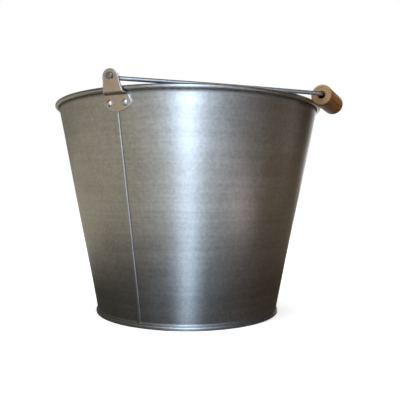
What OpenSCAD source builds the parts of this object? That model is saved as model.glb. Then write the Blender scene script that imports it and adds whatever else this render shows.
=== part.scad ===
// Galvanised steel feed bucket with riveted ears and a swinging wire bail.
// Millimetres. The base stands on z = 0, the pail's axis is Z.
// The ears are on -Y (front, over the side seam) and +Y (back).
// At rest the bail lies over towards +X with its legs on the rolled rim.

/* [Pail] */
// Outside diameter over the rolled rim
rim_d = 300; // [270:1:330]
// Height from the floor to the top of the rolled rim
pail_h = 231; // [200:1:260]
// Outside diameter of the wall where it stands upright at the foot
foot_d = 207.8; // [180:0.2:230]
// Height of the upright part of the foot
foot_h = 8.4; // [6:0.2:14]
// How far the upright foot stands out past the sloping wall
foot_swell = 0.4; // [0.2:0.1:1]
// Height of the hem turned up round the bottom edge
hem_h = 3.4; // [2.4:0.1:5]
// Thickness of the galvanised sheet
sheet_t = 0.6; // [0.5:0.1:0.8]
// Outside diameter of the rolled rim
bead_d = 4.4; // [4:0.1:7]
// Height of the bottom panel above the floor
floor_z = 8; // [7.4:0.2:12]
// Rise of the stiffening step in the bottom panel
step_h = 1.4; // [0.8:0.1:3]
// Diameter of the stiffening step
step_d = 150; // [100:1:168]

/* [Side seam] */
// Width of the folded seam
seam_w = 5; // [4:0.2:8]
// How far the seam stands out of the wall
seam_h = 0.6; // [0.4:0.1:1]
// How far the seam's middle lies to the left of the front ear's middle
seam_side = 1.6; // [0:0.1:2]

/* [Ears] */
// Thickness of the ear plate
ear_t = 1.6; // [1.2:0.1:2.4]
// Height of the bail hole above the floor
hole_z = 238.2; // [236:0.1:242]
// Diameter of the bail hole
hole_d = 5.2; // [5:0.1:5.8]
// Radius of the round top of the ear
tab_r = 8.7; // [7.5:0.1:10]
// Half width of the ear plate where it is widest
plate_half_w = 15.3; // [13:0.1:18]
// How far the upright part leans outwards, in degrees
tab_lean = 16; // [8:1:20]

/* [Rivets] */
// Distance from the ear's centre line to each rivet
rivet_offset = 8.4; // [7.6:0.1:10]
// Diameter of the rivet shank
shank_d = 3.6; // [3:0.1:4.2]
// Diameter of the domed head
head_d = 6.4; // [5.8:0.1:8]
// Height of the domed head
head_h = 1.9; // [1.4:0.1:2.6]

/* [Bail] */
// Diameter of the bail wire
wire_d = 4; // [3.2:0.1:4.6]
// Distance from the hinge line to the wire inside the grip
bail_reach = 161; // [158:0.5:175]
// How far the middle of each leg bows outwards
leg_bow = 3; // [1:0.5:8]
// Inside bend radius at the ears, measured at the wire's centre
ear_bend_r = 9; // [7:0.5:12]
// Diameter of the upset end outside each ear
end_d = 6.4; // [6.2:0.1:7.4]
// Thickness of the upset end
end_t = 1.6; // [1:0.1:2.4]

/* [Grip] */
// Outside diameter of the wooden grip
grip_d = 21; // [18:0.5:22]
// Length of the wooden grip
grip_l = 60; // [50:1:100]
// Diameter of the hole through the grip
grip_bore = 6.6; // [5.6:0.1:8]
// Chamfer on the ends of the grip
grip_chamfer = 1.2; // [0.5:0.1:2.5]

/* [Hidden] */
$fn = 96;
sheet_gap = 0.05;
// the bends of the wire are this much thicker, and its straight lengths run this far into them
bend_extra = 0.06;
bend_lap = 0.2;

// rolled rim: centre of the roll, and the radius to the middle of the sheet
bead_r = bead_d / 2;
roll_r = rim_d / 2 - bead_r;
roll_z = pail_h - bead_r;
roll_mid = bead_r - sheet_t / 2;
rim_wire_r = bead_r - sheet_t - sheet_gap;

// foot: the wall's lower edge is held between two flanges of the base
wall_foot_r = foot_d / 2 - sheet_t / 2;
fold_r = sheet_t + sheet_gap;
fold_z = fold_r + sheet_t / 2 - 0.15;
wall_low_z = fold_z + sheet_gap;

// slope of the wall: a straight line from the foot that touches the roll
foot_top = [wall_foot_r - foot_swell, foot_h];
span = [roll_r, roll_z] - foot_top;
slope = atan2(span[0], span[1]) - asin(roll_mid / norm(span));
along = [sin(slope), cos(slope)];
out = [cos(slope), -sin(slope)];
wall_len = sqrt(pow(norm(span), 2) - pow(roll_mid, 2));

// a point of the wall's mid-surface at height z, moved outwards by off
function wall_at(z, off = 0) =
    let (foot = foot_top + off * out)
    foot + along * (z - foot[1]) / along[1];

// ears
ear_off = sheet_t / 2 + sheet_gap + ear_t / 2;
plate_low_z = pail_h - 22.4;
plate_arc_r = 19.4;
plate_top_z = pail_h - 7;
shelf = [rim_d / 2 + 1.4 + ear_t / 2, pail_h - 6.4];
tab_dir = [sin(tab_lean), cos(tab_lean)];
tab_z = hole_z - 1.8;
plate_wide_z = plate_low_z + 8.2;
hole_r = shelf[0] + (hole_z - shelf[1]) * tan(tab_lean);
rivet_z = pail_h - 14.4;
rivet_at = wall_at(rivet_z);
rivet_turn = asin(rivet_offset / rivet_at[0]);
tail_h = 1.3;
tail_d = head_d - 0.8;

// bail: corners of half of its plan, as [distance from the hinge, distance along it]
end_y = hole_r + ear_t / (2 * cos(tab_lean)) + end_d / 2 * tan(tab_lean) + 0.2;
leg_y = hole_r - 8.8;
leg_end = [bail_reach, grip_l / 2 + 2.6];
leg_start = [0, leg_y];
leg_dir = (leg_end - leg_start) / norm(leg_end - leg_start);
leg_mid = (leg_start + leg_end) / 2 + leg_bow * [-leg_dir[1], leg_dir[0]];
half_bail = [[0, end_y + end_t / 2], leg_start, leg_mid, leg_end];
half_radii = [0, ear_bend_r, 900, 5];

// the bail's rest angle: its legs lie a hair above the top of the roll
leg_fall = leg_end - leg_mid;
lf_a = leg_fall * leg_fall;
lf_b = 2 * leg_mid * leg_fall;
lf_c = leg_mid * leg_mid - roll_r * roll_r;
cross_t = (-lf_b + sqrt(lf_b * lf_b - 4 * lf_a * lf_c)) / (2 * lf_a);
cross_x = leg_mid[0] + cross_t * leg_fall[0];
rest_gap = 0.2;
rest_tilt = asin((hole_z - pail_h - wire_d / 2 - rest_gap) / cross_x);
hang = (grip_bore - wire_d) / 2 - 0.3;

zinc = [0.62, 0.63, 0.64];
bright_zinc = [0.74, 0.75, 0.76];
ear_zinc = [0.60, 0.57, 0.52];
wood = [0.60, 0.38, 0.20];

// ---- shared shapes ----

function turn_of(a, b, c) =
    let (u = (b - a) / norm(b - a), v = (c - b) / norm(c - b))
    atan2(u[0] * v[1] - u[1] * v[0], u * v);

function cut_of(p, r, i) =
    i == 0 || i == len(p) - 1 ? 0 : r[i] * abs(tan(turn_of(p[i-1], p[i], p[i+1]) / 2));

// points along the corners p, with each inner corner turned into an arc of radius r
function bent_path(p, r) = [for (i = [0:len(p) - 1])
    if (i == 0 || i == len(p) - 1) p[i]
    else let (turn = turn_of(p[i-1], p[i], p[i+1]),
              u = (p[i] - p[i-1]) / norm(p[i] - p[i-1]),
              side = turn < 0 ? -1 : 1,
              start = p[i] - u * cut_of(p, r, i),
              centre = start + side * r[i] * [-u[1], u[0]],
              steps = max(4, ceil(abs(turn) / 12)))
        each [for (k = [0:steps]) let (a = turn * k / steps, w = start - centre)
            centre + [w[0] * cos(a) - w[1] * sin(a), w[0] * sin(a) + w[1] * cos(a)]]];

function normal_at(q, i) =
    let (u = i == 0 ? q[1] - q[0] : q[i] - q[i-1],
         v = i == len(q) - 1 ? u : q[i+1] - q[i],
         m = u / norm(u) + v / norm(v))
    [-m[1], m[0]] * 2 / (m * m);

// flat sheet of thickness t seen edge on, along the corners p with bend radii r
module strip(p, r, t) {
    q = bent_path(p, r);
    n = len(q);
    polygon([for (i = [0:n - 1]) q[i] + normal_at(q, i) * t / 2,
             for (i = [n - 1:-1:0]) q[i] - normal_at(q, i) * t / 2]);
}

// round wire of diameter d along the corners p, bent to the radii r, in the XY plane
module bent_wire(p, r, d) {
    for (i = [0:len(p) - 2]) {
        v = p[i+1] - p[i];
        a = i == 0 ? 0 : cut_of(p, r, i) - bend_lap;
        b = i == len(p) - 2 ? 0 : cut_of(p, r, i + 1) - bend_lap;
        translate(p[i]) rotate(atan2(v[1], v[0])) translate([a, 0])
            rotate([0, 90, 0]) cylinder(d = d, h = norm(v) - a - b);
    }
    for (i = [1:1:len(p) - 2]) {
        v = p[i] - p[i-1];
        turn = turn_of(p[i-1], p[i], p[i+1]);
        translate(p[i]) rotate(atan2(v[1], v[0])) mirror([0, turn < 0 ? 1 : 0])
            translate([-cut_of(p, r, i), r[i]]) rotate(-90)
                rotate_extrude(angle = abs(turn)) translate([r[i], 0])
                    circle(d = d + bend_extra);
    }
}

// carries an ear's parts from the +X side of the axis to the front or the back
module at_ear(side) {
    rotate(side == "front" ? -90 : 90) children();
}

// ---- pail ----

// three layers of sheet folded into a flat rib along the wall
module seam_rib(w, h, low_z, high_z) {
    foot = wall_at(low_z, sheet_t / 4);
    rotate(-90) translate([foot[0], 0, foot[1]]) rotate([0, slope, 0])
        translate([0, -w / 2 - seam_side, 0])
            cube([sheet_t / 4 + h, w, (high_z - low_z) / cos(slope)]);
}

// the rib goes on down the upright foot to the hem
module seam_foot() {
    r = wall_foot_r + sheet_t / 4;
    rotate(-90) translate([r, -seam_w / 2 - seam_side, hem_h + 0.3])
        cube([sheet_t / 4 + seam_h, seam_w, foot_h - hem_h - 0.3]);
}

module roll_section() {
    translate([roll_r, roll_z]) difference() {
        circle(bead_r);
        circle(bead_r - sheet_t);
        rotate(184 - slope) polygon([[0, 0], [9, 0], [9, 8], [9 * cos(38), 9 * sin(38)]]);
    }
}

module body_sheet() {
    color(zinc) {
        difference() {
            union() {
                rotate_extrude() {
                    strip([[wall_foot_r, wall_low_z], [wall_foot_r, foot_h - 1], foot_top,
                           foot_top + along * (wall_len + 0.2)], [0, 1.5, 1.5, 0], sheet_t);
                    roll_section();
                }
                seam_rib(seam_w, seam_h, foot_h - 0.4, pail_h - bead_d - 2.2);
                seam_foot();
            }
            rivet_holes();
        }
    }
}

module rim_wire() {
    color(bright_zinc)
        rotate_extrude() translate([roll_r, roll_z]) circle(rim_wire_r);
}

module base_pan() {
    inner_r = wall_foot_r - fold_r;
    outer_r = wall_foot_r + fold_r;
    panel_z = floor_z + sheet_t / 2;
    low_z = fold_z - fold_r;
    color(zinc) difference() {
        rotate_extrude()
            strip([[0, panel_z + step_h], [step_d / 2 - 2, panel_z + step_h],
                   [step_d / 2 + 2, panel_z], [inner_r, panel_z], [inner_r, low_z],
                   [outer_r, low_z], [outer_r, hem_h]],
                  [0, 3, 3, 3, fold_r - 0.01, fold_r - 0.01, 0], sheet_t);
        translate([0, 0, -5]) cylinder(r = foot_d, h = 5);
    }
}

// ---- ears and rivets ----

// both holes of an ear, square to the wall
module each_rivet_axis() {
    for (s = [-1, 1]) rotate(s * rivet_turn)
        translate([rivet_at[0], 0, rivet_at[1]]) rotate([0, 90 + slope, 0]) children();
}

module rivet_holes() {
    for (side = ["front", "back"]) at_ear(side) each_rivet_axis()
        translate([0, 0, -6]) cylinder(d = shank_d + 0.06, h = 12);
}

// outline of the ear seen from outside: a shield below, a round-topped tab above
module ear_outline() {
    neck = tab_r + 1.6;
    w = plate_half_w;
    difference() {
        union() {
            polygon([[-w, plate_low_z - 2], [w, plate_low_z - 2], [w, plate_wide_z],
                     [w - 2.9, plate_top_z], [neck, plate_top_z + 1.5],
                     [tab_r - 0.5, tab_z + 3], [0.5 - tab_r, tab_z + 3],
                     [-neck, plate_top_z + 1.5], [2.9 - w, plate_top_z], [-w, plate_wide_z]]);
            translate([0, tab_z]) circle(tab_r);
        }
        difference() {
            translate([-2 * w, plate_low_z - 5]) square([4 * w, 5 + plate_arc_r / 2]);
            translate([0, plate_low_z + plate_arc_r]) circle(plate_arc_r);
        }
    }
}

module ear() {
    top = shelf + tab_dir * (tab_z + tab_r + 4 - shelf[1]) / tab_dir[1];
    difference() {
        intersection() {
            rotate(-9) rotate_extrude(angle = 18)
                strip([wall_at(plate_low_z - 3, ear_off), wall_at(plate_top_z, ear_off),
                       shelf, top], [0, 2, 2, 0], ear_t);
            rotate([90, 0, 90]) linear_extrude(2 * rim_d) ear_outline();
        }
        translate([0, 0, hole_z]) rotate([0, 90, 0]) cylinder(d = hole_d, h = rim_d);
        each_rivet_axis() translate([0, 0, -6]) cylinder(d = shank_d + 0.06, h = 12);
    }
}

module ear_front() {
    color(ear_zinc) difference() {
        at_ear("front") ear();
        seam_rib(seam_w + 0.6, seam_h + 0.1, plate_low_z - 6, plate_top_z + 1);
    }
}

module ear_back() {
    color(ear_zinc) at_ear("back") ear();
}

// domed head outside the ear, shank, and the flattened tail inside the wall
module rivet(s) {
    head_z = sheet_t / 2 + sheet_gap + ear_t + 0.03;
    tail_z = -sheet_t / 2 - 0.07;
    dome_r = (head_d * head_d / 4 + head_h * head_h) / (2 * head_h);
    rotate(s * rivet_turn) translate([rivet_at[0], 0, rivet_at[1]])
        rotate([0, 90 + slope, 0]) {
            translate([0, 0, tail_z - tail_h]) cylinder(d = tail_d, h = tail_h);
            translate([0, 0, tail_z - 0.5]) cylinder(d = shank_d, h = head_z - tail_z + 1);
            intersection() {
                translate([0, 0, head_z + head_h - dome_r]) sphere(dome_r);
                translate([0, 0, head_z]) cylinder(d = head_d + 2, h = head_h + 1);
            }
        }
}

module rivet_front_left() { color(bright_zinc) at_ear("front") rivet(-1); }
module rivet_front_right() { color(bright_zinc) at_ear("front") rivet(1); }
module rivet_back_left() { color(bright_zinc) at_ear("back") rivet(-1); }
module rivet_back_right() { color(bright_zinc) at_ear("back") rivet(1); }

// ---- bail and grip ----

module on_bail() {
    translate([0, 0, hole_z]) rotate([0, rest_tilt, 0]) children();
}

// the wire's end, spread outside the ear so that it can't slip back through the hole
module upset_end() {
    cylinder(d = end_d, h = end_t - 0.7);
    translate([0, 0, end_t - 0.7]) cylinder(d1 = end_d, d2 = end_d - 1.6, h = 0.7);
}

module bail_wire() {
    n = len(half_bail);
    corners = [for (i = [0:n - 1]) [half_bail[i][0], -half_bail[i][1]],
               for (i = [n - 1:-1:0]) half_bail[i]];
    radii = [for (i = [0:n - 1]) half_radii[i], for (i = [n - 1:-1:0]) half_radii[i]];
    color(bright_zinc) on_bail() {
        bent_wire(corners, radii, wire_d);
        for (s = [-1, 1]) translate([0, s * end_y, 0]) rotate([-90 * s, 0, 0]) upset_end();
    }
}

module wooden_grip() {
    c = grip_chamfer;
    r = grip_d / 2;
    h = grip_l / 2;
    color(wood) on_bail() translate([bail_reach, 0, -hang]) rotate([90, 0, 0])
        rotate_extrude() polygon([[grip_bore / 2, -h], [r - c, -h], [r, c - h], [r, h - c],
                                  [r - c, h], [grip_bore / 2, h]]);
}

body_sheet();
rim_wire();
base_pan();
ear_front();
ear_back();
rivet_front_left();
rivet_front_right();
rivet_back_left();
rivet_back_right();
bail_wire();
wooden_grip();
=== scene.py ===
"""Galvanised feed bucket: the looks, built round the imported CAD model. Metres, Z up.

Shapes are worked out in millimetres in the part's own frame and scaled as each mesh is made.
The front ear is on -Y, the back ear on +Y, and the bail lies over towards +X at rest.
"""

from math import acos, asin, atan2, ceil, cos, degrees, exp, hypot, pi, radians, sin, sqrt, tan

import bpy
from mathutils import Matrix, Vector, noise
from mathutils.geometry import delaunay_2d_cdt
from mathutils.kdtree import KDTree


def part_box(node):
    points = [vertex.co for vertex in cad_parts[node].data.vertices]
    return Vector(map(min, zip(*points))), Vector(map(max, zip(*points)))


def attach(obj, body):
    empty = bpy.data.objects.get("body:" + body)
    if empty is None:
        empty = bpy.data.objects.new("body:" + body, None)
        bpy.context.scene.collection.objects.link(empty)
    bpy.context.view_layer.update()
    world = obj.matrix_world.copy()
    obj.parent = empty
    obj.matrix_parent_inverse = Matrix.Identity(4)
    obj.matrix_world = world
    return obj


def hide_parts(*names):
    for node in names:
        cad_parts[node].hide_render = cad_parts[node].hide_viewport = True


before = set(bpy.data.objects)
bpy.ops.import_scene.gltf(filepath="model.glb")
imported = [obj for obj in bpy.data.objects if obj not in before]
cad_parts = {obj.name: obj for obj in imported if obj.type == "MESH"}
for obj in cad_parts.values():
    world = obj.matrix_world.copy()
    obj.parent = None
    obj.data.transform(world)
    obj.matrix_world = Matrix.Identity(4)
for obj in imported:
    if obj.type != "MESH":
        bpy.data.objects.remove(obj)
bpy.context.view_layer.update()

MM = 0.001

# ---------------------------------------------------------------- sizes, in millimetres
wall_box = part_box("body_sheet")
RIM_R = wall_box[1].x / MM
PAIL_H = wall_box[1].z / MM
SHEET = 0.6
BEAD_R = 2.2
ROLL = Vector((RIM_R - BEAD_R, PAIL_H - BEAD_R))
ROLL_MID = BEAD_R - SHEET / 2
FOOT_R = 103.6
FOOT_TOP = Vector((103.2, 8.4))
HEM_R = 104.25
HEM_H = 3.4
PANEL_Z = 8.3
STEP_RISE = 1.4
STEP_R = 75.0
SEAM_LEFT, SEAM_RIGHT, SEAM_H = -4.1, 0.7, 0.72
SEAM_FOLD = 1.35
SEAM_GROOVE = 0.16
SEAM_DRIFT = 1.1
FOOT_EASE = 0.8
FOOT_BEND = 20.0

EAR_T = 1.6
EAR_EDGE = 0.62
EAR_OFF = SHEET / 2 + 0.05 + EAR_T / 2
PLATE_LOW = PAIL_H - 22.4
PLATE_TOP = PAIL_H - 7.0
PLATE_ARC = 19.4
PLATE_W = 15.3
PLATE_WIDE = PLATE_LOW + 8.2
SHELF = Vector((RIM_R + 1.4 + EAR_T / 2, PAIL_H - 6.4))
TAB_LEAN = radians(16)
TAB_R = 8.7
HOLE_Z = 238.2
HOLE_R = 2.6
TAB_Z = HOLE_Z - 1.8
RIVET_Z = PAIL_H - 14.4
RIVET_SIDE = 8.4

WIRE_R = 2.0
REACH = 161.0
GRIP_L = 60.0
GRIP_R = 10.5
BORE_R = 3.3
HANG = 1.0
LEG_BOW = 3.0
END_R = 3.2
END_T = 1.6
WIRE_SIDES = 28
WIRE_ROUND = 0.7

span = ROLL - FOOT_TOP
SLOPE = atan2(span.x, span.y) - asin(ROLL_MID / span.length)
ALONG = Vector((sin(SLOPE), cos(SLOPE)))
OUT = Vector((cos(SLOPE), -sin(SLOPE)))
WALL_LEN = sqrt(span.length_squared - ROLL_MID**2)


def wall_at(z, off=0.0):
    """A point of the wall's middle surface at height z, moved outwards by off."""
    foot = FOOT_TOP + OUT * off
    return foot + ALONG * ((z - foot.y) / ALONG.y)


def smooth(a, b, x):
    t = min(1.0, max(0.0, (x - a) / (b - a)))
    return t * t * (3 - 2 * t)


# ---------------------------------------------------------------- paths and loops
def bend(points, radii, step=9.0):
    """The path along the corners, with each inner corner turned into an arc."""
    pts = [Vector(p) for p in points]
    made = [pts[0]]
    for i in range(1, len(pts) - 1):
        p = pts[i]
        u, v = (p - pts[i - 1]).normalized(), (pts[i + 1] - p).normalized()
        turn = acos(max(-1.0, min(1.0, u.dot(v))))
        if radii[i] == 0 or turn < 1e-4:
            made.append(p)
            continue
        side = (v - u * u.dot(v)).normalized()
        start = p - u * radii[i] * tan(turn / 2)
        centre = start + side * radii[i]
        n = max(4, ceil(degrees(turn) / step))
        for k in range(n + 1):
            t = turn * k / n
            made.append(centre - side * radii[i] * cos(t) + u * radii[i] * sin(t))
    made.append(pts[-1])
    return made


def split(path, longest):
    """The same path with no stretch longer than longest."""
    made = [path[0]]
    for a, b in zip(path, path[1:]):
        n = max(1, ceil((b - a).length / longest))
        made += [a.lerp(b, k / n) for k in range(1, n + 1)]
    return made


def ribbon(path, t, open_start=False):
    """The outline of a sheet of thickness t along a 2D path, with rounded ends.
    Each entry is (point, side): +1 on the right of the path, -1 on its left, 0 on an end."""
    n, cap = len(path), 5
    normals = []
    for i in range(n):
        u = (path[i] - path[i - 1]).normalized() if i else None
        v = (path[i + 1] - path[i]).normalized() if i < n - 1 else None
        m = (u or v) + (v or u)
        m.normalize()
        normals.append(Vector((m.y, -m.x)) / max(0.5, m.dot(v or u)))
    right = [(p + q * t / 2, 1) for p, q in zip(path, normals)]
    left = [(p - q * t / 2, -1) for p, q in zip(path, normals)]

    def round_end(centre, q, forward):
        return [
            (centre + (q * cos(pi * k / cap) + forward * sin(pi * k / cap)) * t / 2, 0)
            for k in range(1, cap)
        ]

    ahead = (path[-1] - path[-2]).normalized()
    back = (path[0] - path[1]).normalized()
    loop = right + round_end(path[-1], normals[-1], ahead) + left[::-1]
    if not open_start:
        loop += round_end(path[0], -normals[0], back)
    return loop


def area(loop):
    """The signed area inside a loop of (point, side): positive if it runs counter-clockwise."""
    pts = [p for p, _ in loop]
    return sum(a.x * b.y - b.x * a.y for a, b in zip(pts, pts[1:] + pts[:1])) / 2


# ---------------------------------------------------------------- meshes
def make(name, verts, faces, material, body, nodes, marks=None):
    """A smooth mesh piece in millimetres that rides on body and stands for the CAD nodes."""
    mesh = bpy.data.meshes.new(name)
    mesh.from_pydata([tuple(c * MM for c in v) for v in verts], [], faces)
    mesh.polygons.foreach_set("use_smooth", [True] * len(mesh.polygons))
    for key, values in (marks or {}).items():
        mesh.attributes.new(key, "FLOAT", "POINT").data.foreach_set("value", values)
    mesh.validate()
    mesh.update()
    obj = bpy.data.objects.new(name, mesh)
    bpy.context.scene.collection.objects.link(obj)
    mesh.materials.append(material)
    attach(obj, body)
    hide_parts(*nodes)


def lathe(loop, stations, place):
    """Vertices and faces of a loop of (point, side) carried round the stations.
    A loop that starts and ends on the axis is closed with a pole at each end."""
    if area(loop) < 0:
        loop = loop[::-1]
    poles = loop[0][0].x < 1e-6 and loop[-1][0].x < 1e-6
    rings = loop[1:-1] if poles else loop
    m, n = len(rings), len(stations)
    verts = [place(s, p.x, p.y, side) for s in stations for p, side in rings]
    faces = []
    for j in range(n):
        a, b = j * m, ((j + 1) % n) * m
        for i in range(m - 1 if poles else m):
            k = (i + 1) % m
            faces.append((a + i, b + i, b + k, a + k))
    if poles:
        first, last = len(verts), len(verts) + 1
        verts.append(place(stations[0], 0.0, loop[0][0].y, 0))
        verts.append(place(stations[0], 0.0, loop[-1][0].y, 0))
        for j in range(n):
            a, b = j * m, ((j + 1) % n) * m
            faces.append((first, b, a))
            faces.append((a + m - 1, b + m - 1, last))
    return verts, faces


def round_stations(n):
    """The angles of n even steps round a circle."""
    return [2 * pi * k / n for k in range(n)]


def spun(s, r, z, side):
    """The plain place for lathe: a point turned about the Z axis."""
    return (r * cos(s), r * sin(s), z)


def tube(path, radius, sides, tip):
    """A round wire along a path in the XY plane, with its ends rounded off by tip."""
    up = Vector((0, 0, 1))
    rings = []
    n = len(path)
    for i in range(n):
        u = (path[i] - path[i - 1]).normalized() if i else (path[1] - path[0]).normalized()
        v = (path[i + 1] - path[i]).normalized() if i < n - 1 else u
        rings.append((path[i], (u + v).normalized(), radius))
    (first, ahead, _), (last, behind, _) = rings[0], rings[-1]
    steps = 5
    head, tail = [], []
    for k in range(steps):
        a = pi / 2 * k / steps
        inset, thin = tip * (1 - cos(a)), radius - tip * (1 - sin(a))
        head.append((first + ahead * inset, ahead, thin))
        tail.append((last - behind * inset, behind, thin))
    head.append((first + ahead * tip, ahead, radius))
    tail.append((last - behind * tip, behind, radius))
    rings = head + rings[1:-1] + tail[::-1]
    verts, faces = [], []
    for centre, t, r in rings:
        w = t.cross(up)
        verts += [
            centre + (w * cos(2 * pi * k / sides) + up * sin(2 * pi * k / sides)) * r
            for k in range(sides)
        ]
    for j in range(len(rings) - 1):
        a, b = j * sides, (j + 1) * sides
        for k in range(sides):
            q = (k + 1) % sides
            faces.append((a + k, a + q, b + q, b + k))
    faces.append(tuple(range(sides))[::-1])
    faces.append(tuple(range((len(rings) - 1) * sides, len(rings) * sides)))
    return verts, faces


# ---------------------------------------------------------------- materials
class Nodes:
    """Short names for the shader nodes that the materials are written with."""

    def __init__(self, tree):
        self.tree = tree

    def add(self, kind, **props):
        node = self.tree.nodes.new(kind)
        for key, value in props.items():
            setattr(node, key, value)
        return node

    def put(self, socket, value):
        if isinstance(value, bpy.types.NodeSocket):
            self.tree.links.new(value, socket)
        else:
            socket.default_value = value

    def math(self, op, *values):
        node = self.add("ShaderNodeMath", operation=op)
        for socket, value in zip(node.inputs, values):
            self.put(socket, value)
        return node.outputs[0]

    def swing(self, value, gain):
        """How far a value lies from its middle, 0.5, times gain."""
        return self.math("MULTIPLY", self.math("SUBTRACT", value, 0.5), gain)

    def total(self, *values):
        out = values[0]
        for value in values[1:]:
            out = self.math("ADD", out, value)
        return out

    def ramp(self, value, a, b, low=0.0, high=1.0, kind="SMOOTHSTEP"):
        node = self.add("ShaderNodeMapRange", interpolation_type=kind)
        for socket, v in zip(node.inputs, (value, a, b, low, high)):
            self.put(socket, v)
        return node.outputs[0]

    def mix(self, fac, a, b):
        node = self.add("ShaderNodeMix", data_type="RGBA")
        self.put(node.inputs["Factor"], fac)
        self.put(node.inputs[6], a)
        self.put(node.inputs[7], b)
        return node.outputs[2]

    def where(self):
        return self.add("ShaderNodeTexCoord").outputs["Object"]

    def stretch(self, vector, scale):
        node = self.add("ShaderNodeMapping")
        self.put(node.inputs["Vector"], vector)
        node.inputs["Scale"].default_value = scale
        return node.outputs[0]

    def noise(self, vector, scale, detail, rough):
        node = self.add("ShaderNodeTexNoise")
        self.put(node.inputs["Vector"], vector)
        node.inputs["Scale"].default_value = scale
        node.inputs["Detail"].default_value = detail
        node.inputs["Roughness"].default_value = rough
        return node.outputs["Fac"]

    def cells(self, vector, scale):
        """A random value on each crystal-sized cell."""
        node = self.add("ShaderNodeTexVoronoi", feature="F1")
        self.put(node.inputs["Vector"], vector)
        node.inputs["Scale"].default_value = scale
        split_rgb = self.add("ShaderNodeSeparateColor")
        self.put(split_rgb.inputs[0], node.outputs["Color"])
        return split_rgb.outputs[0]

    def mark(self, key):
        return self.add("ShaderNodeAttribute", attribute_name=key).outputs["Fac"]

    def bump(self, height, strength, distance):
        node = self.add("ShaderNodeBump")
        self.put(node.inputs["Height"], height)
        node.inputs["Strength"].default_value = strength
        node.inputs["Distance"].default_value = distance
        return node.outputs[0]


def surface(name, metallic):
    """A new material, its nodes and its shader."""
    material = bpy.data.materials.new(name)
    material.use_nodes = True
    shader = next(n for n in material.node_tree.nodes if n.type == "BSDF_PRINCIPLED")
    shader.inputs["Metallic"].default_value = metallic
    return material, Nodes(material.node_tree), shader


def zinc(name, dark, light, rough, streak=1.0, grain=1.0, spangle=1.0, wear=None,
         dirt_and_shade=None, stain=None):
    """Galvanised steel: a fine mottle, small faint crystals and rolling streaks round the body.
    Wear follows the mesh's own marks, as do dirt and painted shade; a stain lies in spots."""
    material, n, shader = surface(name, 1.0)
    at = n.where()
    mottle = n.noise(at, 330.0, 2.0, 0.55)
    fine = n.noise(at, 900.0, 1.0, 0.5)
    cloud = n.noise(at, 26.0, 3.0, 0.5)
    lines = n.noise(n.stretch(at, (7.0, 7.0, 330.0)), 1.0, 3.0, 0.55)
    bands = n.noise(n.stretch(at, (2.5, 2.5, 48.0)), 1.0, 3.0, 0.5)
    crystal = n.cells(at, 300.0)
    tone = n.total(
        0.5,
        n.swing(mottle, 1.05 * grain),
        n.swing(fine, 0.30 * grain),
        n.swing(cloud, 0.75),
        n.swing(lines, 0.75 * streak),
        n.swing(bands, 0.55 * streak),
        n.swing(crystal, 0.16 * spangle),
    )
    colour = n.mix(n.ramp(tone, 0.0, 1.0, kind="LINEAR"), (*dark, 1), (*light, 1))
    roughness = n.total(
        rough,
        n.swing(mottle, 0.12),
        n.swing(cloud, 0.06),
        n.swing(lines, 0.05 * streak),
    )
    if stain:
        spots = n.ramp(n.noise(at, 115.0, 2.0, 0.5), 0.46, 0.66, 0.0, 0.55)
        colour = n.mix(spots, colour, (*stain, 1))
    if wear:
        rubbed = n.math("MULTIPLY", n.mark("wear"), n.ramp(mottle, 0.3, 0.62, 0.55, 1.0))
        colour = n.mix(rubbed, colour, (*wear, 1))
        roughness = n.math("SUBTRACT", roughness, n.math("MULTIPLY", rubbed, 0.04))
    # Dirt and painted shade from the mesh's grime mark: painted shade in the wall's creases and
    # on its roll and under the ears' shelves, rust on the wire's hammered ends.
    if dirt_and_shade:
        dirt_and_shade_amount = n.math("MULTIPLY", n.mark("grime_and_shade"), n.ramp(mottle, 0.25, 0.65, 0.75, 1.0))
        colour = n.mix(dirt_and_shade_amount, colour, (*dirt_and_shade, 1))
        roughness = n.math("ADD", roughness, n.math("MULTIPLY", dirt_and_shade_amount, 0.24))
    n.put(shader.inputs["Base Color"], colour)
    n.put(shader.inputs["Roughness"], roughness)
    height = n.total(
        n.math("MULTIPLY", mottle, 1.0),
        n.math("MULTIPLY", fine, 0.20),
        n.math("MULTIPLY", lines, 0.20 * streak),
        n.math("MULTIPLY", crystal, 0.10 * spangle),
    )
    n.put(shader.inputs["Normal"], n.bump(height, 0.10, 0.0003))
    return material


SIDE_DARK, SIDE_LIGHT = (0.105, 0.036, 0.008, 1), (0.48, 0.190, 0.040, 1)
END_DARK, END_LIGHT = (0.20, 0.115, 0.055, 1), (0.56, 0.38, 0.21, 1)
BORE_DIRT = (0.045, 0.022, 0.010, 1)
PITH_X, PITH_Z = 0.0032, 0.0046


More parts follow.
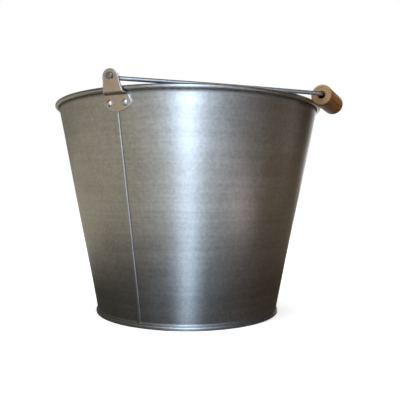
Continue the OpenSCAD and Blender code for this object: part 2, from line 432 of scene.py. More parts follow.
def turned_wood(name, centre):
    """Turned hardwood: rings round a pith that lies off the grip's axis, pores drawn along
    the grain, a thin varnish on the side and bare, paler end grain."""
    material, n, shader = surface(name, 0.0)
    at = n.add("ShaderNodeMapping")
    n.put(at.inputs["Vector"], n.where())
    at.inputs["Location"].default_value = [-c * MM for c in centre]
    at = at.outputs[0]
    wander = n.noise(n.stretch(at, (60.0, 14.0, 60.0)), 1.0, 2.0, 0.5)
    parts = n.add("ShaderNodeSeparateXYZ")
    n.put(parts.inputs[0], at)
    dx = n.math("SUBTRACT", parts.outputs[0], PITH_X)
    dz = n.math("ADD", parts.outputs[2], PITH_Z)
    radius = n.math("SQRT", n.total(n.math("MULTIPLY", dx, dx), n.math("MULTIPLY", dz, dz)))
    rings = n.math(
        "SINE", n.total(n.math("MULTIPLY", radius, 3000.0), n.math("MULTIPLY", wander, 9.0))
    )
    rings = n.ramp(rings, -1.0, 1.0, kind="LINEAR")
    pores = n.noise(n.stretch(at, (1500.0, 55.0, 1500.0)), 1.0, 3.0, 0.6)
    fibre = n.noise(n.stretch(at, (520.0, 26.0, 520.0)), 1.0, 3.0, 0.6)
    patch = n.noise(at, 70.0, 2.0, 0.5)
    tone = n.total(
        0.42,
        n.swing(rings, 0.30),
        n.swing(pores, 0.75),
        n.swing(fibre, 0.85),
        n.swing(patch, 0.70),
    )
    tone = n.ramp(tone, 0.0, 1.0, kind="LINEAR")
    side = n.mix(tone, SIDE_DARK, SIDE_LIGHT)
    end_tone = n.total(
        0.48,
        n.swing(rings, 0.22),
        n.swing(pores, 0.9),
        n.swing(patch, 0.5),
    )
    end_tone = n.ramp(end_tone, 0.0, 1.0, kind="LINEAR")
    end = n.mix(end_tone, END_DARK, END_LIGHT)
    ends = n.mark("end_grain")
    colour = n.mix(ends, side, end)
    dirt_and_shade = n.math("MULTIPLY", n.mark("grime_and_shade"), n.ramp(patch, 0.3, 0.7, 0.6, 1.0))
    n.put(shader.inputs["Base Color"], n.mix(dirt_and_shade, colour, BORE_DIRT))
    roughness = n.total(
        0.46,
        n.math("MULTIPLY", ends, 0.25),
        n.swing(pores, 0.25),
        n.math("MULTIPLY", dirt_and_shade, 0.2),
    )
    n.put(shader.inputs["Roughness"], roughness)
    shader.inputs["Specular IOR Level"].default_value = 0.10
    height = n.total(
        n.math("MULTIPLY", pores, 0.6),
        n.math("MULTIPLY", fibre, 0.5),
        n.math("MULTIPLY", rings, 0.25),
    )
    n.put(shader.inputs["Normal"], n.bump(height, 0.30, 0.0004))
    return material


# The wall's darkening colour is painted shade: dark lines in the creases by the seam and under
# the roll, and a darker roll.
wall_zinc = zinc(
    "wall_zinc", (0.44, 0.44, 0.43), (0.72, 0.72, 0.71), 0.34, dirt_and_shade=(0.10, 0.09, 0.08)
)
base_zinc = zinc("base_zinc", (0.45, 0.45, 0.44), (0.68, 0.68, 0.67), 0.36, streak=0.25)
# The ear's darkening colour is painted shade on the underside of the shelf where the plate
# bends out.
ear_zinc = zinc(
    "ear_zinc", (0.62, 0.56, 0.50), (0.84, 0.77, 0.70), 0.36, streak=0.0, grain=0.8,
    spangle=0.6, wear=(0.86, 0.84, 0.81), dirt_and_shade=(0.11, 0.095, 0.08), stain=(0.74, 0.55, 0.36),
)
rivet_zinc = zinc(
    "rivet_zinc", (0.76, 0.75, 0.74), (0.90, 0.89, 0.88), 0.335, streak=0.0, grain=0.4,
    spangle=0.0,
)
wire_zinc = zinc(
    "wire_zinc", (0.32, 0.32, 0.31), (0.54, 0.54, 0.53), 0.42, streak=0.0, spangle=0.3,
    dirt_and_shade=(0.36, 0.27, 0.21),
)

# ---------------------------------------------------------------- wall with its rolled rim
SEAM_DENSE = 4.2  # degrees from the front within which columns follow the seam
SEAM_BLEND = 14.0  # degrees from the front beyond which columns are plain angles
SEAM_REF_R = 125.0  # the radius at which both kinds of column agree


def seam_angle(p, r):
    """Columns near the seam follow straight lines down the wall; further round they are
    plain angles. p is in degrees from the front, right-handed."""
    keep = 1 - smooth(SEAM_DENSE, SEAM_BLEND, abs(p))
    return radians(p * (1 + (SEAM_REF_R / r - 1) * keep) - 90.0)


def wall_stations():
    """The wall's columns in degrees from the front, closest together over the seam."""
    made, p = [], -180.0
    while p < 179.9:
        made.append(p)
        s = radians(p) * SEAM_REF_R
        if SEAM_RIGHT - 1.5 < s < SEAM_RIGHT + 0.8:
            p += 0.04
        elif SEAM_LEFT - 1.0 < s < SEAM_RIGHT + 1.6:
            p += 0.1
        elif abs(p) < SEAM_DENSE + 1:
            p += 0.4
        else:
            p += 0.9
        p = round(p, 4)
    return made


def seam_height(s):
    """The lock seam's outer layer: it eases up from the left and ends in a rounded fold,
    with a shallow groove beside it."""
    if s < SEAM_RIGHT - SEAM_FOLD:
        return SEAM_H * smooth(SEAM_LEFT - 0.5, SEAM_LEFT + 0.7, s)
    if s < SEAM_RIGHT:
        k = (s - SEAM_RIGHT + SEAM_FOLD) / SEAM_FOLD
        return SEAM_H * sqrt(max(0.0, 1 - k * k))
    past = s - SEAM_RIGHT
    return -SEAM_GROOVE * (1 - smooth(0.25, 0.8, past)) * smooth(-0.001, 0.12, past)


def seam_lean(z):
    """The seam drifts to the left on its way up, from 20 mm above the floor to the rim."""
    return SEAM_DRIFT * max(0.0, z - 20.0) / 210.0


def wall_wave(angle, z):
    """The small waves that rolled and handled sheet has, a tenth of a millimetre or so."""
    fade = smooth(0.0, 34.0, z) * (1 - smooth(198.0, 224.0, z))
    x, y = cos(angle), sin(angle)
    broad = noise.noise(Vector((x * 2.1, y * 2.1, z * 0.012 + 3.7)))
    small = noise.noise(Vector((x * 6.0 + 9.1, y * 6.0, z * 0.035)))
    hoops = noise.noise(Vector((x * 0.7 + 5.2, y * 0.7, z * 0.09)))
    return fade * (0.30 * broad + 0.07 * small + 0.05 * hoops)


wall_top = FOOT_TOP + ALONG * WALL_LEN
foot_r = FOOT_R - FOOT_EASE
foot_z = FOOT_TOP.y + (foot_r - FOOT_TOP.x) / tan(SLOPE)
rise = bend([(foot_r, 1.25), (foot_r, foot_z), wall_top], [0, FOOT_BEND, 0], step=1.5)
rise = split(rise, 3.0)
ROLL_START = pi - SLOPE
ROLL_SWEEP = radians(319)
ROLL_STEPS = 34
roll = [
    ROLL + Vector((cos(t), sin(t))) * ROLL_MID
    for t in (ROLL_START - ROLL_SWEEP * k / ROLL_STEPS for k in range(1, ROLL_STEPS + 1))
]
wall_loop = ribbon(rise + roll, SHEET)
wall_painted_shade = []
# How strongly the roll's outer face is darkened, as painted shade.
ROLL_PAINTED_SHADE = 0.38


def wall_place(p, r, z, side):
    """A wall vertex p degrees from the front. It also notes the vertex's painted shade: a dark
    line in the crease beside the seam, a dark line in the crease under the roll, and a darker
    roll."""
    angle = seam_angle(p, r)
    s = radians(p) * r if abs(p) > SEAM_BLEND else (angle + pi / 2) * r
    angle -= seam_lean(z) / r * (1 - smooth(SEAM_DENSE, SEAM_BLEND, abs(p)))
    # Painted shade: a dark line in the crease beside the seam's fold, and a dark line in the
    # crease under the roll.
    crease = exp(-(((s - SEAM_RIGHT - 0.55) / 0.45) ** 2)) * smooth(HEM_H, HEM_H + 1, z)
    under_roll = PAIL_H - 2 * BEAD_R - 0.35 - z
    if side > 0 and under_roll < -0.5:
        crease = ROLL_PAINTED_SHADE + 0.5 * exp(-(((under_roll + 0.5) / 0.7) ** 2))
    else:
        crease = max(0.9 * crease, exp(-((under_roll / 0.75) ** 2)))
    wall_painted_shade.append(crease if side > 0 else 0.0)
    on_wall = r < RIM_R - 2 * BEAD_R + 1.0 or z < PAIL_H - 2 * BEAD_R
    if on_wall:
        r += wall_wave(angle, z)
        if side > 0 and abs(s) < 8:
            above_hem = smooth(HEM_H - 0.2, HEM_H + 0.6, z)
            r += seam_height(s) * above_hem * (1 - smooth(221, 224, z))
    return (r * cos(angle), r * sin(angle), z)


verts, faces = lathe(wall_loop, wall_stations(), wall_place)
# The wall's grime mark carries its painted shade.
marks = {"grime_and_shade": wall_painted_shade}
make("pail_wall", verts, faces, wall_zinc, "pail", ["body_sheet"], marks)

# ---------------------------------------------------------------- bottom panel, foot and hem
base_path = bend(
    [
        (0, PANEL_Z + STEP_RISE),
        (STEP_R - 2, PANEL_Z + STEP_RISE),
        (STEP_R + 2, PANEL_Z),
        (2 * FOOT_R - HEM_R, PANEL_Z),
        (2 * FOOT_R - HEM_R, 0.3),
        (HEM_R, 0.3),
        (HEM_R, HEM_H - 0.9),
        (HEM_R - 0.10, HEM_H - 0.3),
    ],
    [0, 3, 3, 3, 0.649, 0.649, 1.2, 0],
)
base_loop = ribbon(split(base_path, 6.0), SHEET, open_start=True)
base_loop[0][0].x = base_loop[-1][0].x = 0.0


def base_place(s, r, z, side):
    """A vertex of the base; its flat part is a tenth of a millimetre uneven."""
    if 20 < r < 98:
        z += 0.12 * noise.noise(Vector((r * cos(s) * 0.03, r * sin(s) * 0.03, 1.3)))
    return (r * cos(s), r * sin(s), z)


stations = [radians(-180 + 0.9 * k) for k in range(400)]
verts, faces = lathe(base_loop, stations, base_place)
make("pail_base", verts, faces, base_zinc, "pail", ["base_pan"])

# ---------------------------------------------------------------- ears
ear_path = bend(
    [
        wall_at(PLATE_LOW - 3, EAR_OFF),
        wall_at(PLATE_TOP, EAR_OFF),
        SHELF,
        SHELF + Vector((sin(TAB_LEAN), cos(TAB_LEAN))) * 26,
    ],
    [0, 2, 2, 0],
    step=6.0,
)
ear_u = [0.0]
for a, b in zip(ear_path, ear_path[1:]):
    ear_u.append(ear_u[-1] + (b - a).length)


def u_at(z):
    """How far along the ear's bent strip the height z lies."""
    for k in range(len(ear_path) - 1):
        a, b = ear_path[k].y, ear_path[k + 1].y
        if z <= b or k == len(ear_path) - 2:
            return ear_u[k] + (ear_u[k + 1] - ear_u[k]) * (z - a) / (b - a)


def on_ear(u):
    """The point of the strip's middle and its outward normal at u."""
    k = 0
    while k < len(ear_u) - 2 and u > ear_u[k + 1]:
        k += 1
    t = (u - ear_u[k]) / (ear_u[k + 1] - ear_u[k])

    def turn(i):
        i0, i1 = max(0, i - 1), min(len(ear_path) - 1, i + 1)
        d = (ear_path[i1] - ear_path[i0]).normalized()
        return Vector((d.y, -d.x))

    normal = turn(k).lerp(turn(k + 1), t).normalized()
    return ear_path[k].lerp(ear_path[k + 1], t), normal


def ear_outline(gap, rounds):
    """The ear's outline as (across, along) points a gap apart, counter-clockwise."""
    arc_z = PLATE_LOW + PLATE_ARC
    low = [
        (y, u_at(arc_z - sqrt(PLATE_ARC**2 - y * y)))
        for y in [PLATE_W * k / 24 for k in range(-24, 25)]
    ]
    neck = TAB_R + 1.6
    shoulder = PLATE_W - 2.9
    right = [
        (PLATE_W, u_at(PLATE_WIDE)),
        (shoulder, u_at(PLATE_TOP)),
        (shoulder - 0.75, u_at(SHELF.y)),
        (neck, u_at(PLATE_TOP + 1.9)),
    ]
    top = []
    for k in range(0, 33):
        a = radians(-6 + 192 * k / 32)
        top.append((TAB_R * cos(a), u_at(TAB_Z) + TAB_R * sin(a)))
    left = [(-y, u) for y, u in right[::-1]]
    corners = [Vector(p) for p in low + right + top + left]
    ring, carry = [], 0.0
    for a, b in zip(corners, corners[1:] + corners[:1]):
        length = (b - a).length
        t = carry
        while t < length:
            ring.append(a.lerp(b, t / length))
            t += gap
        carry = t - length
    for _ in range(rounds):
        m = len(ring)
        ring = [(ring[i - 1] + ring[i] * 2 + ring[(i + 1) % m]) / 4 for i in range(m)]
    return ring


def inward(ring):
    """At each point of a ring, the direction square to it and into the plate."""
    m = len(ring)
    made = []
    for i in range(m):
        d = (ring[(i + 1) % m] - ring[i - 1]).normalized()
        made.append(Vector((-d.y, d.x)))
    return made


def build_ear(side):
    """A pressed plate with rounded edges and a punched hole, bent to the ear's path.
    It is laid out flat, as (point across and along the strip, height off its middle)."""
    ring = ear_outline(0.32, 7)
    ring_in = inward(ring)
    hole_u = u_at(HOLE_Z)
    turns = 40
    upright = HOLE_R * 1.04
    hole = [
        Vector((HOLE_R * cos(2 * pi * k / turns), hole_u + upright * sin(2 * pi * k / turns)))
        for k in range(turns)
    ][::-1]
    hole_in = inward(hole)
    flat = EAR_T / 2 - EAR_EDGE
    steps = 5
    front = [
        (EAR_EDGE * (1 - cos(pi / 2 * k / steps)), flat + EAR_EDGE * sin(pi / 2 * k / steps))
        for k in range(steps + 1)
    ]
    section = [(e, -h) for e, h in front[::-1]] + front
    shape, faces, wear = [], [], []

    def add_edge(loop, normals):
        start, m = len(shape), len(loop)
        for e, h in section:
            for p, q in zip(loop, normals):
                shape.append((p + q * e, h))
        for j in range(len(section) - 1):
            a, b = start + j * m, start + (j + 1) * m
            for i in range(m):
                k = (i + 1) % m
                faces.append((a + i, a + k, b + k, b + i))
        return start, start + (len(section) - 1) * m

    ring_back, ring_front = add_edge(ring, ring_in)
    hole_back, hole_front = add_edge(hole, hole_in)
    rim = [p + q * EAR_EDGE for p, q in zip(ring, ring_in)]
    eye = [p + q * EAR_EDGE for p, q in zip(hole, hole_in)]
    fence = KDTree(len(rim) + len(eye))
    for i, p in enumerate(rim + eye):
        fence.insert((p.x, p.y, 0), i)
    fence.balance()

    def inside(p):
        hit = False
        for a, b in zip(rim, rim[1:] + rim[:1]):
            if (a.y > p.y) == (b.y > p.y):
                continue
            if p.x < (b.x - a.x) * (p.y - a.y) / (b.y - a.y) + a.x:
                hit = not hit
        return hit and hypot(p.x, p.y - hole_u) > HOLE_R + EAR_EDGE

    rows, u = [], ear_u[0]
    while u < ear_u[-1]:
        bent = any(abs(u - q) < 2.6 for q in (u_at(PLATE_TOP), u_at(SHELF.y)))
        rows.append(u)
        u += 0.4 if bent else 1.1
    inner = []
    for u in rows:
        for k in range(-16, 17):
            p = Vector((k * 0.95, u))
            if inside(p) and fence.find((p.x, p.y, 0))[2] > 0.45:
                inner.append(p)
    flat_pts = rim + eye + inner
    nr, ne = len(rim), len(eye)
    edges = [(i, (i + 1) % nr) for i in range(nr)]
    edges += [(nr + i, nr + (i + 1) % ne) for i in range(ne)]
    out_pts, _, tris, origin, _, _ = delaunay_2d_cdt(flat_pts, edges, [], 0, 1e-7)
    inner_front = len(shape)
    shape.extend((p, EAR_T / 2) for p in inner)
    inner_back = len(shape)
    shape.extend((p, -EAR_T / 2) for p in inner)

    def vertex(i, ring_start, eye_start, inner_start):
        i = origin[i][0]
        if i < nr:
            return ring_start + i
        if i < nr + ne:
            return eye_start + i - nr
        return inner_start + i - nr - ne

    for tri in tris:
        mid = sum((Vector(out_pts[i]) for i in tri), Vector((0, 0))) / 3
        if not inside(mid):
            continue
        faces.append(tuple(vertex(i, ring_front, hole_front, inner_front) for i in tri))
        faces.append(tuple(vertex(i, ring_back, hole_back, inner_back) for i in tri)[::-1])
    verts, grime_and_shade = [], []
    shelf_u = (u_at(PLATE_TOP) + u_at(SHELF.y)) / 2
    for p, h in shape:
        mid, normal = on_ear(p.y)
        r, z = mid + normal * h
        x = sqrt(r * r - p.x * p.x)
        verts.append((p.x, -x, z) if side == "front" else (-p.x, x, z))
        near = fence.find((p.x, p.y, 0))[2]
        wear.append(1.0 if abs(h) < EAR_T / 2 - 0.02 else exp(-near / 0.35))
        # Painted shade on the underside of the shelf, where the plate bends out from the wall.
        grime_and_shade.append(0.9 * exp(-(((p.y - shelf_u) / 2.6) ** 4)) if h > 0.3 else 0.0)
        wear[-1] *= 1 - grime_and_shade[-1]
    name = "ear_plate_" + side
    marks = {"wear": wear, "grime_and_shade": grime_and_shade}
    make(name, verts, faces, ear_zinc, "pail", ["ear_" + side], marks)


build_ear("front")
build_ear("back")

# ---------------------------------------------------------------- rivets
rivet_at = wall_at(RIVET_Z)
rivet_turn = asin(RIVET_SIDE / rivet_at.x)
HEAD_R, HEAD_H, HEAD_Z, SHANK_R = 3.2, 1.9, 1.98, 1.8
TAIL_R, TAIL_H, TAIL_Z = 2.8, 1.3, -0.37


def rivet_profile():
    """From the axis inside the pail, round the tail and shank, to the top of the dome."""
    tail = bend(
        [
            (0, TAIL_Z - TAIL_H),
            (TAIL_R - 0.2, TAIL_Z - TAIL_H),
            (TAIL_R, TAIL_Z),
            (SHANK_R, TAIL_Z),
        ],
        [0, 0.7, 0.25, 0],
        step=15,
    )
    dome_r = (HEAD_R**2 + HEAD_H**2) / (2 * HEAD_H)
    reach = asin(HEAD_R / dome_r)
    dome = [
        Vector((dome_r * sin(t), HEAD_Z + HEAD_H - dome_r + dome_r * cos(t)))
        for t in (reach * (1 - k / 14) for k in range(15))
    ]
    dome[-1].x = 0.0
    lip = dome[0] + Vector((-0.03, 0.12))
    brim = bend([(SHANK_R, HEAD_Z), (HEAD_R, HEAD_Z), lip], [0, 0.08, 0])
    return [(p, 0) for p in tail + brim[:-1] + dome[1:]]


def build_rivet(side, name, s):
    """A rivet square to the wall, on the ear's left (s = -1) or right (s = 1)."""
    verts, faces = lathe(rivet_profile(), round_stations(40), spun)
    lean = Matrix.Rotation(pi / 2 + SLOPE, 4, "Y")
    to_wall = Matrix.Translation((rivet_at.x, 0, rivet_at.y)) @ lean
    quarter = -pi / 2 if side == "front" else pi / 2
    place = Matrix.Rotation(quarter + s * rivet_turn, 4, "Z") @ to_wall
    made = []
    for i, v in enumerate(verts):
        v = Vector(v)
        if v.z < TAIL_Z - 0.2:
            v.z += 0.10 * noise.noise(v * 0.9 + Vector((s * 3.1, len(side), 0)))
        made.append(place @ v)
    make("rivet_" + name, made, faces, rivet_zinc, "pail", ["rivet_" + name])


for side in ("front", "back"):
    for word, s in (("left", -1), ("right", 1)):
        build_rivet(side, side + "_" + word, s)

# ---------------------------------------------------------------- bail wire
grip_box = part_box("wooden_grip")
grip_mid = (grip_box[0] + grip_box[1]) / 2 / MM
TILT = atan2(HOLE_Z - grip_mid.z, grip_mid.x) - atan2(HANG, REACH)
on_bail = Matrix.Translation((0, 0, HOLE_Z)) @ Matrix.Rotation(TILT, 4, "Y")

hole_out = SHELF.x + (HOLE_Z - SHELF.y) * tan(TAB_LEAN)
END_Y = hole_out + EAR_T / (2 * cos(TAB_LEAN)) + END_R * tan(TAB_LEAN) + 0.2
LEG_Y = hole_out - 8.8
leg_end = Vector((REACH, GRIP_L / 2 + 2.6))
leg_start = Vector((0, LEG_Y))
leg_dir = (leg_end - leg_start).normalized()
leg_mid = (leg_start + leg_end) / 2 + LEG_BOW * Vector((-leg_dir.y, leg_dir.x))
half = [Vector((0, END_Y + END_T / 2)), leg_start, leg_mid, leg_end]
radii = [0, 9, 900, 5]
corners = [Vector((p.x, -p.y, 0)) for p in half] + [Vector((p.x, p.y, 0)) for p in half[::-1]]
wire_path = split(bend(corners, radii + radii[::-1], step=5.0), 4.0)
verts, faces = tube(wire_path, WIRE_R, WIRE_SIDES, WIRE_ROUND)
grime_and_shade = [0.0] * len(verts)


def spread_end(sign):
    """The wire's end, hammered out into a low button outside the ear."""
    outline = bend(
        [(0, 0), (END_R, 0), (END_R, END_T - 0.35), (END_R - 1.1, END_T), (0, END_T)],
        [0, 0.25, 0.5, 1.2, 0],
        step=12,
    )

    def place(s, r, h, side):
        dent = 0.12 * noise.noise(Vector((cos(s) * 1.3, sin(s) * 1.3, r * 0.6 + sign)))
        r -= 0.12 * (0.5 + 0.5 * noise.noise(Vector((cos(s) * 1.7, sin(s) * 1.7, 4.0 * sign))))
        r, h = max(0.0, r), min(END_T, h + (dent if h > END_T - 0.5 else 0.0))
        return Vector((r * cos(s), sign * (END_Y + h), r * sin(s)))

    return lathe([(p, 0) for p in outline], round_stations(44)[:: int(sign)], place)


for sign in (1.0, -1.0):
    more_verts, more_faces = spread_end(sign)
    faces += [tuple(i + len(verts) for i in face) for face in more_faces]
    grime_and_shade += [0.9 if abs(v.y) > END_Y + 0.3 else 0.5 for v in more_verts]
    verts += more_verts
verts = [on_bail @ v for v in verts]
marks = {"grime_and_shade": grime_and_shade}
make("bail_wire_bent", verts, faces, wire_zinc, "bail", ["bail_wire"], marks)

# ---------------------------------------------------------------- wooden grip
CHAMFER = 1.3
half_l = GRIP_L / 2


def grip_profile():
    """Right half of the turned section, as (radius, distance along the grip)."""
    outer = bend(
        [
            (BORE_R + 0.5, half_l),
            (GRIP_R - CHAMFER, half_l),
            (GRIP_R, half_l - CHAMFER),
            (GRIP_R, -half_l + CHAMFER),
            (GRIP_R - CHAMFER, -half_l),
            (BORE_R + 0.5, -half_l),
        ],
        [0, 0.9, 1.1, 1.1, 0.9, 0],
        step=12,
    )
    bore = bend(
        [
            (BORE_R + 0.5, -half_l),
            (BORE_R, -half_l + 0.6),
            (BORE_R, half_l - 0.6),
            (BORE_R + 0.5, half_l),
        ],
        [0, 0.5, 0.5, 0],
        step=15,
    )
    return [(p, 0) for p in split(outer, 1.2) + split(bore, 3.0)[1:-1]]


def grip_place(s, r, y, side):
    """Turning marks and small dents, cut only inwards so that the grip keeps its size."""
    worn = 0.5 + 0.5 * noise.noise(Vector((cos(s) * 2.3, sin(s) * 2.3, y * 0.16)))
    ridge = 0.5 + 0.5 * noise.noise(Vector((cos(s) * 0.2, sin(s) * 0.2, y * 1.4 + 7)))
    if r > GRIP_R - CHAMFER - 0.5:
        r -= 0.10 * worn + 0.03 * ridge
    elif abs(abs(y) - half_l) < 0.05:
        y -= (0.10 * worn) * (1 if y > 0 else -1)
    return on_bail @ Vector((REACH + r * cos(s), -y, -HANG + r * sin(s)))


profile = grip_profile()
stations = round_stations(96)
verts, faces = lathe(profile, stations, grip_place)
ends, grime_and_shade = [], []
off_bail = on_bail.inverted()
for v in verts:
    local = off_bail @ Vector(v)
    y, r = abs(local.y), hypot(local.x - REACH, local.z + HANG)
    ends.append(smooth(half_l - 1.0, half_l - 0.45, y) if r > BORE_R + 0.1 else 1.0)
    grime_and_shade.append(0.9 * (1 - smooth(BORE_R + 0.1, BORE_R + 1.1, r)))
marks = {"end_grain": ends, "grime_and_shade": grime_and_shade}
wood = turned_wood("grip_wood", grip_mid)
make("grip_turned", verts, faces, wood, "grip", ["wooden_grip"], marks)

# ---------------------------------------------------------------- the CAD node that stays
rim_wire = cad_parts["rim_wire"]
rim_wire.data.materials.clear()
rim_wire.data.materials.append(wire_zinc)

# ---------------------------------------------------------------- camera
VIEW = radians(26.7)
CAM_D, CAM_H = 0.59766, 0.13326
YAW, PITCH, ROLL_ANGLE = 0.023582, -0.011349, 0.006829
SENSOR = 36.0
FOCAL = 1.27476  # in sensor widths
heading = VIEW - YAW
look = Vector((-sin(heading) * cos(PITCH), cos(heading) * cos(PITCH), sin(PITCH)))
right = Vector((cos(heading), sin(heading), 0))
up = right.cross(look)
right = right * cos(ROLL_ANGLE) + up * sin(ROLL_ANGLE)
up = right.cross(look)
lens = bpy.data.cameras.new("camera")
lens.sensor_width = SENSOR
lens.lens = SENSOR * FOCAL
lens.clip_start, lens.clip_end = 0.01, 60.0
camera = bpy.data.objects.new("camera", lens)
bpy.context.scene.collection.objects.link(camera)
spot = Vector((CAM_D * sin(VIEW), -CAM_D * cos(VIEW), CAM_H))
camera.matrix_world = Matrix(
    ((right.x, up.x, -look.x, spot.x), (right.y, up.y, -look.y, spot.y),
     (right.z, up.z, -look.z, spot.z), (0, 0, 0, 1))
)
bpy.context.scene.camera = camera

# ---------------------------------------------------------------- studio
scene = bpy.context.scene
scene.view_settings.view_transform = "Standard"
scene.view_settings.look = "None"


def seen_by(obj, **rays):
    """Only the named kinds of ray meet the object."""
    for ray in ("camera", "diffuse", "glossy", "transmission", "volume_scatter", "shadow"):
        setattr(obj, "visible_" + ray, rays.get(ray, False))


def stage_mesh(name, verts, faces, material, **rays):
    """A piece of the surroundings, in metres."""
    mesh = bpy.data.meshes.new(name)
    mesh.from_pydata(verts, [], faces)
    mesh.polygons.foreach_set("use_smooth", [True] * len(mesh.polygons))
    mesh.materials.append(material)
    obj = bpy.data.objects.new(name, mesh)
    scene.collection.objects.link(obj)
    seen_by(obj, **rays)


def disc(radius, z, rings=6, turns=64):
    """A flat disc whose rings are closest together near its middle."""
    around = [(cos(2 * pi * j / turns), sin(2 * pi * j / turns)) for j in range(turns)]
    verts = [(0, 0, z)]
    for k in range(1, rings + 1):
        r = radius * (k / rings) ** 2
        verts += [(r * c, r * s, z) for c, s in around]
    faces = [(0, 1 + j, 1 + (j + 1) % turns) for j in range(turns)]
    for k in range(rings - 1):
        a, b = 1 + k * turns, 1 + (k + 1) * turns
        for j in range(turns):
            q = (j + 1) % turns
            faces.append((a + j, b + j, b + q, a + q))
    return verts, faces


def dome(radius, turns=48, belts=24):
    """A whole sphere round the origin."""
    around = [(cos(2 * pi * k / turns), sin(2 * pi * k / turns)) for k in range(turns)]
    verts, faces = [(0, 0, -radius), (0, 0, radius)], []
    for j in range(1, belts):
        t = pi * j / belts
        verts += [
            (radius * sin(t) * c, radius * sin(t) * s, -radius * cos(t)) for c, s in around
        ]
    for j in range(belts - 2):
        a, b = 2 + j * turns, 2 + (j + 1) * turns
        for k in range(turns):
            q = (k + 1) % turns
            faces.append((a + k, a + q, b + q, b + k))
    last = 2 + (belts - 2) * turns
    faces += [(0, 2 + (k + 1) % turns, 2 + k) for k in range(turns)]
    faces += [(1, last + k, last + (k + 1) % turns) for k in range(turns)]
    return verts, faces


FLOOR_R = 14.0
FLOOR_DARK, FLOOR_LIGHT = (0.80, 0.80, 0.79, 1), (0.88, 0.88, 0.87, 1)
floor_material, n, shader = surface("pale_floor", 0.0)
grain = n.noise(n.where(), 90.0, 4.0, 0.6)
n.put(shader.inputs["Base Color"], n.mix(grain, FLOOR_DARK, FLOOR_LIGHT))
n.put(shader.inputs["Roughness"], n.ramp(grain, 0.0, 1.0, 0.55, 0.75))
shader.inputs["Specular IOR Level"].default_value = 0.0
shader.inputs["Emission Color"].default_value = (1.0, 1.0, 0.995, 1)
shader.inputs["Emission Strength"].default_value = 0.30
stage_mesh("floor", *disc(FLOOR_R, 0.0), floor_material, camera=True, shadow=False)

BELOW, ABOVE = (0.10, 0.095, 0.09, 1), (1.0, 1.0, 1.0, 1)
world = bpy.data.worlds.new("studio")
scene.world = world
world.use_nodes = True
n = Nodes(world.node_tree)
back = next(k for k in world.node_tree.nodes if k.type == "BACKGROUND")
spread = n.add("ShaderNodeSeparateXYZ")
n.put(spread.inputs[0], n.add("ShaderNodeTexCoord").outputs["Generated"])
n.put(back.inputs["Color"], n.mix(n.ramp(spread.outputs[2], -0.14, -0.05), BELOW, ABOVE))
back.inputs["Strength"].default_value = 1.0
world.cycles_visibility.glossy = False


AIM = Vector((0, 0, 0.12))


def softbox(name, spot, size, power, colour):
    """A soft light for the matt surfaces; the metal takes its light from the surround."""
    light = bpy.data.lights.new(name, "AREA")
    light.shape = "SQUARE"
    light.size = size
    light.energy = power
    light.color = colour
    obj = bpy.data.objects.new(name, light)
    scene.collection.objects.link(obj)
    obj.location = spot
    obj.rotation_mode = "QUATERNION"
    obj.rotation_quaternion = (AIM - Vector(spot)).to_track_quat("-Z", "Y")
    seen_by(obj, diffuse=True, shadow=True)


softbox("key", (-0.5, -1.3, 1.5), 0.9, 16.0, (1.0, 0.98, 0.95))
softbox("top", (0.2, 0.2, 1.9), 1.4, 16.0, (1.0, 0.99, 0.97))

# ---- what the metal sees: a warm left, a dim right and a tall cool window behind the viewer.
# Angles are from the viewer's side, positive to the right; "away" is the distance in metres
# from the pail's axis.
WARM = (0.422, 0.380, 0.298)
DIM = (0.122, 0.089, 0.057)
COOL = (0.942, 1.183, 1.500)
PATCH = (0.821, 0.734, 0.720)
BACKDROP = (2.13, 2.09, 2.02)
CEILING = (0.125, 0.120, 0.116)
SURROUND_R = 9.0
NEAR_R, NEAR_Z = 8.0, -0.0005


def emission(name):
    """A new glowing material, its nodes and its emission node."""
    material = bpy.data.materials.new(name)
    material.use_nodes = True
    material.node_tree.nodes.clear()
    n = Nodes(material.node_tree)
    glow = n.add("ShaderNodeEmission")
    out = n.add("ShaderNodeOutputMaterial")
    n.put(out.inputs["Surface"], glow.outputs[0])
    material.cycles.emission_sampling = "NONE"
    return material, n, glow


def times(n, colour, value):
    """A constant colour scaled by a value."""
    node = n.add("ShaderNodeVectorMath", operation="SCALE")
    node.inputs[0].default_value = colour
    n.put(node.inputs["Scale"], value)
    return node.outputs[0]


def plus(n, *values):
    """The sum of colours."""
    out = values[0]
    for value in values[1:]:
        node = n.add("ShaderNodeVectorMath", operation="ADD")
        n.put(node.inputs[0], out)
        n.put(node.inputs[1], value)
        out = node.outputs[0]
    return out


def bell(n, value, centre, width):
    """A smooth bump, 1 at the centre."""
    t = n.math("DIVIDE", n.math("SUBTRACT", value, centre), width)
    return n.math("EXPONENT", n.math("MULTIPLY", n.math("MULTIPLY", t, t), -1.0))


def turned(n, vector):
    """x, y, z of a vector with the viewer's side turned to -Y."""
    node = n.add("ShaderNodeVectorRotate", rotation_type="Z_AXIS")
    n.put(node.inputs["Vector"], vector)
    node.inputs["Angle"].default_value = -VIEW
    parts = n.add("ShaderNodeSeparateXYZ")
    n.put(parts.inputs[0], node.outputs[0])
    return parts.outputs


def side_share(n, angle):
    """1 on the left, falling to the darker right."""
    return n.ramp(angle, radians(-20), radians(50), 1.0, 0.0)


def backdrop(n, angle):
    """The pale backdrop that lights the pail's right edge."""
    return n.ramp(angle, radians(136), radians(163))


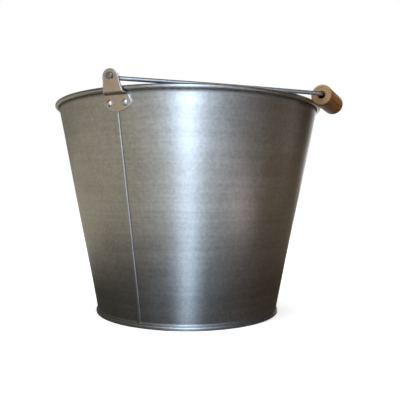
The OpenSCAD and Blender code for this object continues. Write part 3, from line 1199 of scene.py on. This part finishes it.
surround, n, glow = emission("surround")
direction = n.add("ShaderNodeVectorMath", operation="NORMALIZE")
n.put(direction.inputs[0], n.where())
x, y, z = turned(n, direction.outputs[0])
angle = n.math("ARCTAN2", x, n.math("MULTIPLY", y, -1.0))
height = n.math("ARCSINE", z)
left = side_share(n, angle)
right_side = n.math("SUBTRACT", 1.0, left)
warm_height = n.ramp(height, radians(8), radians(34), 0.50, 0.26)
ceiling = n.ramp(height, radians(34), radians(76))
low = n.ramp(height, radians(34), radians(54), 1.0, 0.0)
window = n.math("MULTIPLY", bell(n, angle, 0.0, radians(9)), low)
veil = n.math("MULTIPLY", bell(n, angle, radians(3), radians(32)), low)
n.put(
    glow.inputs["Color"],
    plus(
        n,
        times(n, WARM, n.math("MULTIPLY", left, warm_height)),
        times(n, DIM, n.math("MULTIPLY", right_side, 0.20)),
        times(n, CEILING, ceiling),
        times(n, COOL, n.math("MULTIPLY", window, 3.6)),
        times(n, COOL, n.math("MULTIPLY", veil, 0.9)),
        times(n, BACKDROP, n.math("MULTIPLY", backdrop(n, angle), low)),
    ),
)
stage_mesh("surround", *dome(SURROUND_R), surround, glossy=True)

near, n, glow = emission("floor_in_the_metal")
x, y, z = turned(n, n.where())
angle = n.math("ARCTAN2", x, n.math("MULTIPLY", y, -1.0))
away = n.math("SQRT", n.total(n.math("MULTIPLY", x, x), n.math("MULTIPLY", y, y)))
left = side_share(n, angle)
right_side = n.math("SUBTRACT", 1.0, left)
open_left = n.math("MULTIPLY", left, n.ramp(away, 0.155, 0.53, 0.112, 1.0))
open_right = n.math("MULTIPLY", right_side, n.ramp(away, 0.13, 0.50, 0.37, 1.0))
reach = n.total(
    n.ramp(away, 0.106, 0.20, 0.22, 0.82, "LINEAR"),
    n.ramp(away, 0.20, 1.00, 0.0, 1.33, "LINEAR"),
)
streak = n.math("MULTIPLY", bell(n, angle, 0.0, radians(6.5)), n.math("MULTIPLY", reach, 1.15))
veil_far = n.ramp(away, 0.13, 0.50, 0.04, 0.25)
veil = n.math("MULTIPLY", bell(n, angle, radians(5), radians(31)), veil_far)
shelf_far = n.ramp(away, 0.9, 1.6)
shelf_light = n.math("MULTIPLY", bell(n, angle, radians(99), radians(8)), shelf_far)
patch_far = bell(n, away, 0.477, 0.10)
patch = n.math("MULTIPLY", bell(n, angle, radians(44.8), radians(13.6)), patch_far)
n.put(
    glow.inputs["Color"],
    plus(
        n,
        times(n, WARM, open_left),
        times(n, DIM, open_right),
        times(n, COOL, streak),
        times(n, COOL, veil),
        times(n, PATCH, n.total(patch, n.math("MULTIPLY", shelf_light, 0.22))),
        times(n, BACKDROP, n.math("MULTIPLY", backdrop(n, angle), 0.48)),
    ),
)
stage_mesh("floor_in_the_metal", *disc(NEAR_R, NEAR_Z, 14, 96), near, glossy=True)
